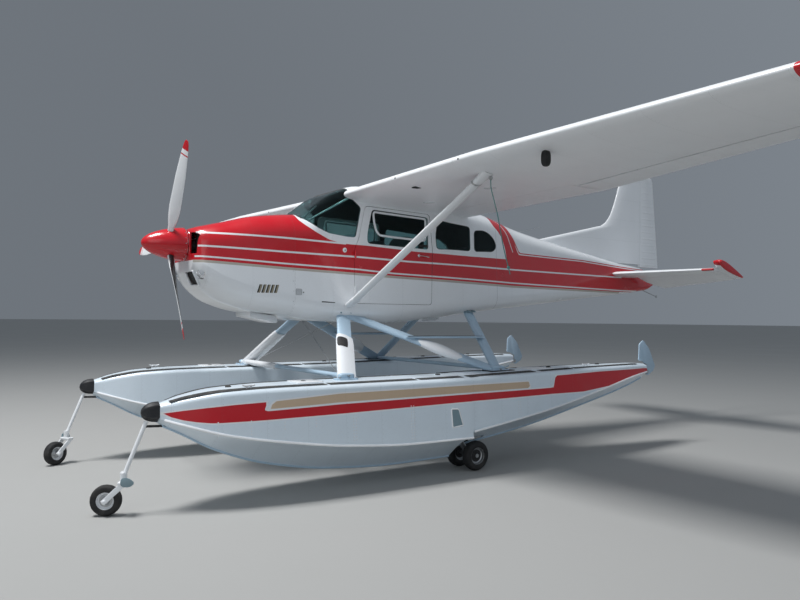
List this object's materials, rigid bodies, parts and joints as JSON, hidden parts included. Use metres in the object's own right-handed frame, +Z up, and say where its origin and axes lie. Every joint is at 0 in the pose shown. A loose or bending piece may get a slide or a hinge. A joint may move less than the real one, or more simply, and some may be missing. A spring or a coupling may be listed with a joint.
{
  "type": "floatplane",
  "caption": "Light high-wing floatplane on amphibious floats: cabin, strut-braced wing, tail, propeller, floats with retractable-gear wheels, and hinged doors and controls.",
  "frame": {"origin": "on the ground, under the middle of the aircraft's bounding box", "axes": "+X aft, +Y to starboard, +Z up"},
  "size_m": [8.3443, 10.92, 3.69],
  "materials": {
    "white_paint": "gloss",
    "red_paint": "gloss",
    "blade_paint": "satin",
    "float_metal": "satin",
    "strut_metal": "satin",
    "bare_steel": "satin",
    "clear_glass": "gloss",
    "cabin_trim": "matte",
    "seat_fabric": "matte",
    "bumper_rubber": "matte",
    "tyre_rubber": "matte",
    "rope_fibre": "matte"
  },
  "bodies": {
    "airframe": {"cabin_shell": "white_paint", "tailcone": "white_paint", "cowling": "red_paint", "engine_block": "bare_steel", "cowl_flap": "white_paint", "windshield": "clear_glass", "instrument_panel": "cabin_trim", "rear_bench": "seat_fabric", "fin": "white_paint", "stabiliser": "white_paint", "spreader_front": "strut_metal", "spreader_rear": "strut_metal", "brace_wire_1": "bare_steel", "brace_wire_2": "bare_steel", "tie_rope": "rope_fibre", "side_glass_left": "clear_glass", "side_glass_right": "clear_glass", "front_seat_left": "seat_fabric", "front_seat_right": "seat_fabric", "wing_left": "white_paint", "wing_right": "white_paint", "wing_strut_left": "white_paint", "wing_strut_right": "white_paint", "float_left": "float_metal", "float_right": "float_metal", "bow_bumper_left": "bumper_rubber", "bow_bumper_right": "bumper_rubber", "float_struts_left": "strut_metal", "float_struts_right": "strut_metal", "nose_leg_left": "white_paint", "nose_leg_right": "white_paint", "main_leg_left": "bare_steel", "main_leg_right": "bare_steel"},
    "propeller": {"spinner": "red_paint", "blade_1": "blade_paint", "blade_2": "blade_paint", "blade_3": "blade_paint"},
    "elevator": {"elevator": "white_paint"},
    "rudder": {"rudder": "white_paint"},
    "door_left": {"door_left": "white_paint", "door_window_left": "clear_glass"},
    "door_right": {"door_right": "white_paint", "door_window_right": "clear_glass"},
    "flap_left": {"flap_left": "white_paint"},
    "flap_right": {"flap_right": "white_paint"},
    "aileron_left": {"aileron_left": "white_paint"},
    "aileron_right": {"aileron_right": "white_paint"},
    "nose_fork_left": {"nose_fork_left": "bare_steel"},
    "nose_fork_right": {"nose_fork_right": "bare_steel"},
    "nose_wheel_left": {"nose_wheel_left": "tyre_rubber"},
    "nose_wheel_right": {"nose_wheel_right": "tyre_rubber"},
    "main_wheels_left": {"main_wheels_left": "tyre_rubber"},
    "main_wheels_right": {"main_wheels_right": "tyre_rubber"},
    "water_post_left": {"water_post_left": "bare_steel"},
    "water_post_right": {"water_post_right": "bare_steel"},
    "water_rudder_left": {"water_rudder_left": "float_metal"},
    "water_rudder_right": {"water_rudder_right": "float_metal"}
  },
  "joints": [
    {"name": "propeller_spin", "type": "hinge", "parent": "airframe", "child": "propeller", "pos_m": [-3.27, 0, 2.241], "axis": [1, 0, 0], "continuous": true},
    {"name": "elevator_hinge", "type": "hinge", "parent": "airframe", "child": "elevator", "pos_m": [3.51, 0, 2.188], "axis": [0, 1, 0], "range_deg": [-46, 0]},
    {"name": "rudder_hinge", "type": "hinge", "parent": "airframe", "child": "rudder", "pos_m": [3.745, 0, 3], "axis": [0, 0, 1], "range_deg": [-24, 24]},
    {"name": "door_swing_left", "type": "hinge", "parent": "airframe", "child": "door_left", "pos_m": [-1.51, -0.575, 2.1], "axis": [0, 0, -1], "range_deg": [0, 65]},
    {"name": "flap_hinge_left", "type": "hinge", "parent": "airframe", "child": "flap_left", "pos_m": [-0.40485, -0.64, 2.72722], "axis": [0, 0.9998, -0.0207], "range_deg": [0, 40]},
    {"name": "aileron_hinge_left", "type": "hinge", "parent": "airframe", "child": "aileron_left", "pos_m": [-0.32862, -2.56, 2.80417], "axis": [0.0738, 0.9966, -0.0356], "range_deg": [-18, 18]},
    {"name": "nose_swivel_left", "type": "hinge", "parent": "airframe", "child": "nose_fork_left", "pos_m": [-3.945, -1.2, 0.26], "axis": [0, 0, 1], "continuous": true},
    {"name": "nose_wheel_spin_left", "type": "hinge", "parent": "nose_fork_left", "child": "nose_wheel_left", "pos_m": [-4.058, -1.142, 0.119], "axis": [0.4566, 0.8897, 0], "continuous": true},
    {"name": "main_wheels_spin_left", "type": "hinge", "parent": "airframe", "child": "main_wheels_left", "pos_m": [-0.52, -1.205, 0.15], "axis": [0, 1, 0], "continuous": true},
    {"name": "water_rudder_steer_left", "type": "hinge", "parent": "airframe", "child": "water_post_left", "pos_m": [2.31, -1.205, 0.95], "axis": [0, 0, 1], "range_deg": [-25, 25]},
    {"name": "water_rudder_lift_left", "type": "hinge", "parent": "water_post_left", "child": "water_rudder_left", "pos_m": [2.345, -1.205, 0.89], "axis": [0, 1, 0], "range_deg": [0, 100]},
    {"name": "door_swing_right", "type": "hinge", "parent": "airframe", "child": "door_right", "pos_m": [-1.51, 0.575, 2.1], "axis": [0, 0, 1], "range_deg": [0, 65]},
    {"name": "flap_hinge_right", "type": "hinge", "parent": "airframe", "child": "flap_right", "pos_m": [-0.40485, 0.64, 2.72722], "axis": [0, 0.9998, 0.0207], "range_deg": [0, 40]},
    {"name": "aileron_hinge_right", "type": "hinge", "parent": "airframe", "child": "aileron_right", "pos_m": [-0.32862, 2.56, 2.80417], "axis": [-0.0738, 0.9966, 0.0356], "range_deg": [-18, 18]},
    {"name": "nose_swivel_right", "type": "hinge", "parent": "airframe", "child": "nose_fork_right", "pos_m": [-3.945, 1.2, 0.26], "axis": [0, 0, 1], "continuous": true},
    {"name": "nose_wheel_spin_right", "type": "hinge", "parent": "nose_fork_right", "child": "nose_wheel_right", "pos_m": [-4.058, 1.142, 0.119], "axis": [-0.4566, 0.8897, 0], "continuous": true},
    {"name": "main_wheels_spin_right", "type": "hinge", "parent": "airframe", "child": "main_wheels_right", "pos_m": [-0.52, 1.205, 0.15], "axis": [0, 1, 0], "continuous": true},
    {"name": "water_rudder_steer_right", "type": "hinge", "parent": "airframe", "child": "water_post_right", "pos_m": [2.31, 1.205, 0.95], "axis": [0, 0, 1], "range_deg": [-25, 25]},
    {"name": "water_rudder_lift_right", "type": "hinge", "parent": "water_post_right", "child": "water_rudder_right", "pos_m": [2.345, 1.205, 0.89], "axis": [0, 1, 0], "range_deg": [0, 100]}
  ],
  "couplings": [
    {"joint": "flap_hinge_right", "follows": "flap_hinge_left", "ratio": 1},
    {"joint": "aileron_hinge_right", "follows": "aileron_hinge_left", "ratio": -1}
  ]
}
